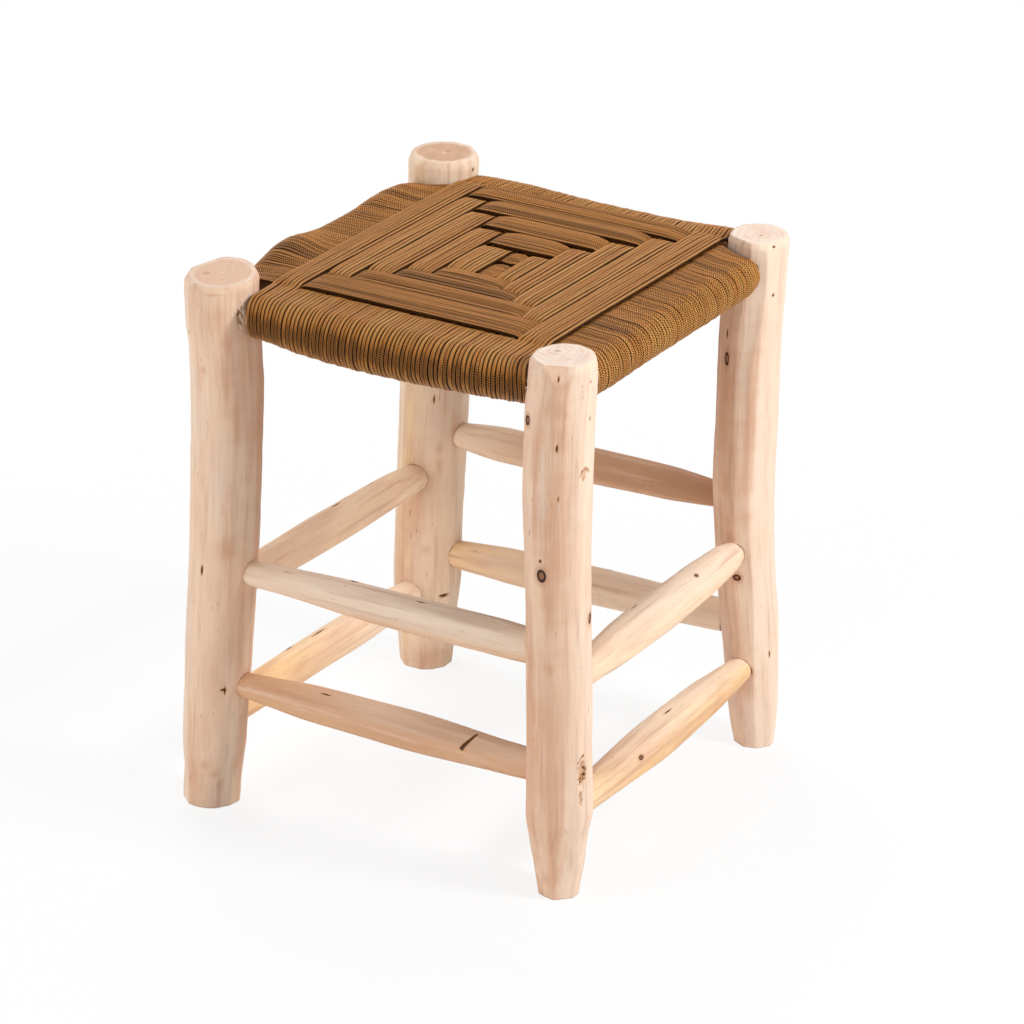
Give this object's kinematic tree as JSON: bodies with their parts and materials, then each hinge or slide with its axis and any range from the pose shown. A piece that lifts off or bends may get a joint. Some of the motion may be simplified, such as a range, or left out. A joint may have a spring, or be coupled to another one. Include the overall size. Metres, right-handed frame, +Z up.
{
  "type": "stool",
  "caption": "Low four-legged stool of peeled logs and whittled rungs with a square seat of braided cord woven in concentric squares.",
  "frame": {"origin": "on the floor, under the centre of the stool's outer box", "axes": "+Z up, +X from the front left leg to the front right leg, +Y from the front to the back"},
  "size_m": [0.3652, 0.3788, 0.457],
  "materials": {
    "peeled_log": "peeled and dry, unvarnished",
    "whittled_rung": "knife cut, unvarnished",
    "seat_rail": "peeled and dry, unvarnished",
    "woven_cord": "braided, slight sheen"
  },
  "bodies": {
    "root": {"leg_front_left": "peeled_log", "leg_front_right": "peeled_log", "leg_back_right": "peeled_log", "leg_back_left": "peeled_log", "rung_front_upper": "whittled_rung", "rung_front_lower": "whittled_rung", "rung_right_upper": "whittled_rung", "rung_right_lower": "whittled_rung", "rung_left_upper": "whittled_rung", "rung_left_lower": "whittled_rung", "rung_back_upper": "whittled_rung", "rung_back_lower": "whittled_rung", "seat_rail_front": "seat_rail", "seat_rail_back": "seat_rail", "seat_rail_left": "seat_rail", "seat_rail_right": "seat_rail", "band_front_back_01": "woven_cord", "band_front_back_02": "woven_cord", "band_front_back_03": "woven_cord", "band_front_back_04": "woven_cord", "band_front_back_05": "woven_cord", "band_front_back_06": "woven_cord", "band_front_back_07": "woven_cord", "band_front_back_08": "woven_cord", "band_front_back_09": "woven_cord", "band_front_back_10": "woven_cord", "band_front_back_11": "woven_cord", "band_left_right_01": "woven_cord", "band_left_right_02": "woven_cord", "band_left_right_03": "woven_cord", "band_left_right_04": "woven_cord", "band_left_right_05": "woven_cord", "band_left_right_06": "woven_cord", "band_left_right_07": "woven_cord", "band_left_right_08": "woven_cord", "band_left_right_09": "woven_cord", "band_left_right_10": "woven_cord"}
  },
  "joints": []
}
